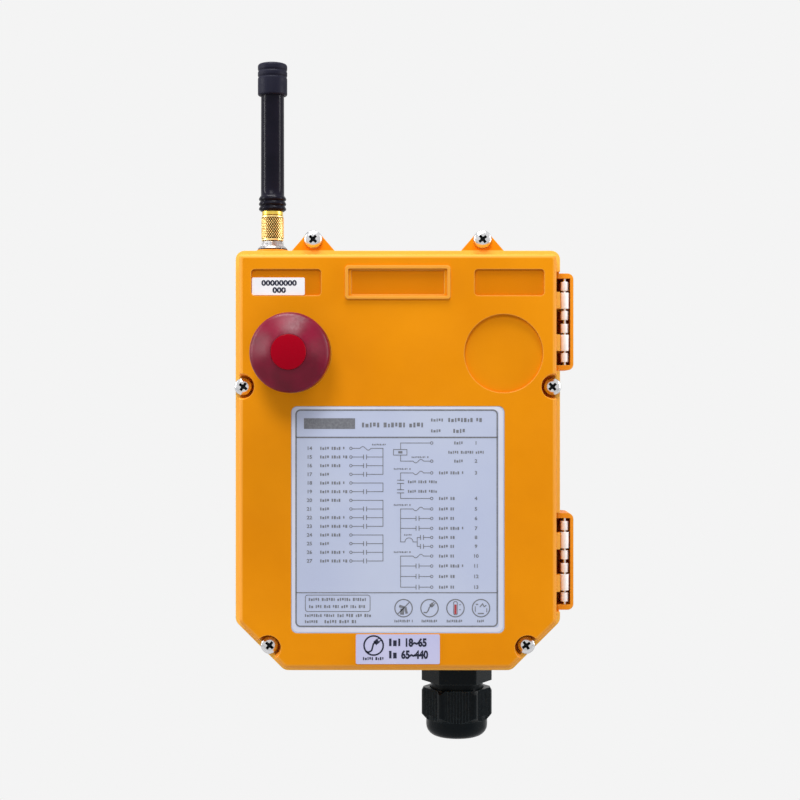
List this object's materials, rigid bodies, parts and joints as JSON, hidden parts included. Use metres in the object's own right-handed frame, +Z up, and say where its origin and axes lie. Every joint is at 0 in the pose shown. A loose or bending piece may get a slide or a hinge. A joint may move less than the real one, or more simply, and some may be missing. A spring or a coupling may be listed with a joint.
{
  "type": "crane radio remote control receiver",
  "caption": "Wall-mounted radio receiver box with a side-hinged screwed cover, a mushroom stop button, a whip aerial and a cable gland.",
  "frame": {"origin": "centre of the flat rear face that lies on the wall", "axes": "+X to the right seen from the front, +Y into the wall, +Z up along the aerial"},
  "size_m": [0.1745, 0.104, 0.3595],
  "materials": {
    "housing_orange": "moulded, satin, lightly weathered",
    "gasket_grey": "foamed, matt",
    "zinc_steel": "bright zinc plate",
    "nylon_white": "satin nylon",
    "brass": "turned",
    "button_red": "glossy",
    "disc_red": "glossy",
    "black_plastic": "satin",
    "grey_plastic": "satin",
    "spring_steel": "drawn wire",
    "black_rubber": "moulded, matt",
    "rod_black": "satin sleeve",
    "gold_plate": "gold plated, bright",
    "nickel": "nickel plated",
    "lead_brown": "coaxial lead jacket",
    "gland_nylon": "moulded nylon",
    "seal_rubber": "moulded, matt",
    "label_silver": "silver film, printed",
    "label_lavender": "film, printed",
    "label_white": "film, printed",
    "board_green": "solder resist over glass laminate",
    "relay_blue": "moulded case",
    "terminal_green": "moulded",
    "terminal_steel": "plated",
    "fuse_glass": "clear tube",
    "clip_metal": "tinned",
    "trafo_blue": "sealed block with a steel core",
    "can_sleeve": "shrink sleeve",
    "shield_metal": "tinned can",
    "chip_black": "moulded package",
    "led_red": "clear resin, tinted"
  },
  "bodies": {
    "housing": {"rear_housing": "housing_orange", "cover_inserts": "brass", "wall_inserts": "brass", "hinge_pins": "zinc_steel", "housing_bushes": "nylon_white", "antenna_whip": "rod_black", "antenna_cap": "black_rubber", "antenna_ferrule": "gold_plate", "antenna_bulkhead": "gold_plate", "antenna_hex_nut": "nickel", "antenna_washer": "nickel", "antenna_pigtail": "lead_brown", "gland_body": "gland_nylon", "gland_seal": "seal_rubber", "gland_claw": "gland_nylon", "gland_gasket": "seal_rubber", "gland_locknut": "gland_nylon", "main_board": "board_green", "board_screws": "zinc_steel", "output_relays": "relay_blue", "terminal_strip_left": "terminal_green", "terminal_strip_right": "terminal_green", "terminal_screws": "terminal_steel", "fuses": "fuse_glass", "fuse_clips": "clip_metal", "power_transformer": "trafo_blue", "capacitors": "can_sleeve", "radio_board": "board_green", "radio_header": "chip_black", "radio_shield": "shield_metal", "processor": "chip_black", "status_leds": "led_red"},
    "cover": {"front_cover": "housing_orange", "cover_gasket": "gasket_grey", "cover_screws": "zinc_steel", "screw_retainers": "nylon_white", "cover_bushes": "nylon_white", "estop_spring": "spring_steel", "estop_collar": "black_plastic", "estop_seal": "black_rubber", "estop_locknut": "grey_plastic", "estop_adapter": "grey_plastic", "contact_block": "label_white", "contact_terminals": "terminal_steel", "wiring_label": "label_silver", "voltage_label": "label_lavender", "serial_label": "label_white"},
    "plunger": {"estop_stem": "grey_plastic", "contact_pusher": "disc_red"},
    "button": {"estop_head": "button_red", "estop_disc": "disc_red"},
    "aerial_nut": {"antenna_coupling_nut": "gold_plate"},
    "dome_nut": {"gland_dome_nut": "gland_nylon"}
  },
  "joints": [
    {"name": "cover_hinge", "type": "hinge", "parent": "housing", "child": "cover", "pos_m": [0.0863, -0.0575, 0], "axis": [0, 0, 1], "range_deg": [0, 100]},
    {"name": "estop_press", "type": "slide", "parent": "cover", "child": "plunger", "axis": [0, 1, 0], "range_m": [0, 0.004], "stiffness_N_per_m": 4000, "springref_m": -0.003, "deforming": ["estop_spring"]},
    {"name": "estop_twist", "type": "hinge", "parent": "plunger", "child": "button", "pos_m": [-0.0535, -0.104, 0.0545], "axis": [0, 1, 0], "range_deg": [0, 45], "stiffness_Nm_per_rad": 0.1},
    {"name": "aerial_nut_turn", "type": "hinge", "parent": "housing", "child": "aerial_nut", "pos_m": [-0.0671, -0.03, 0.122], "axis": [0, 0, 1], "continuous": true},
    {"name": "gland_nut_turn", "type": "hinge", "parent": "housing", "child": "dome_nut", "pos_m": [0.0315, -0.028, -0.135], "axis": [0, 0, 1], "continuous": true}
  ]
}
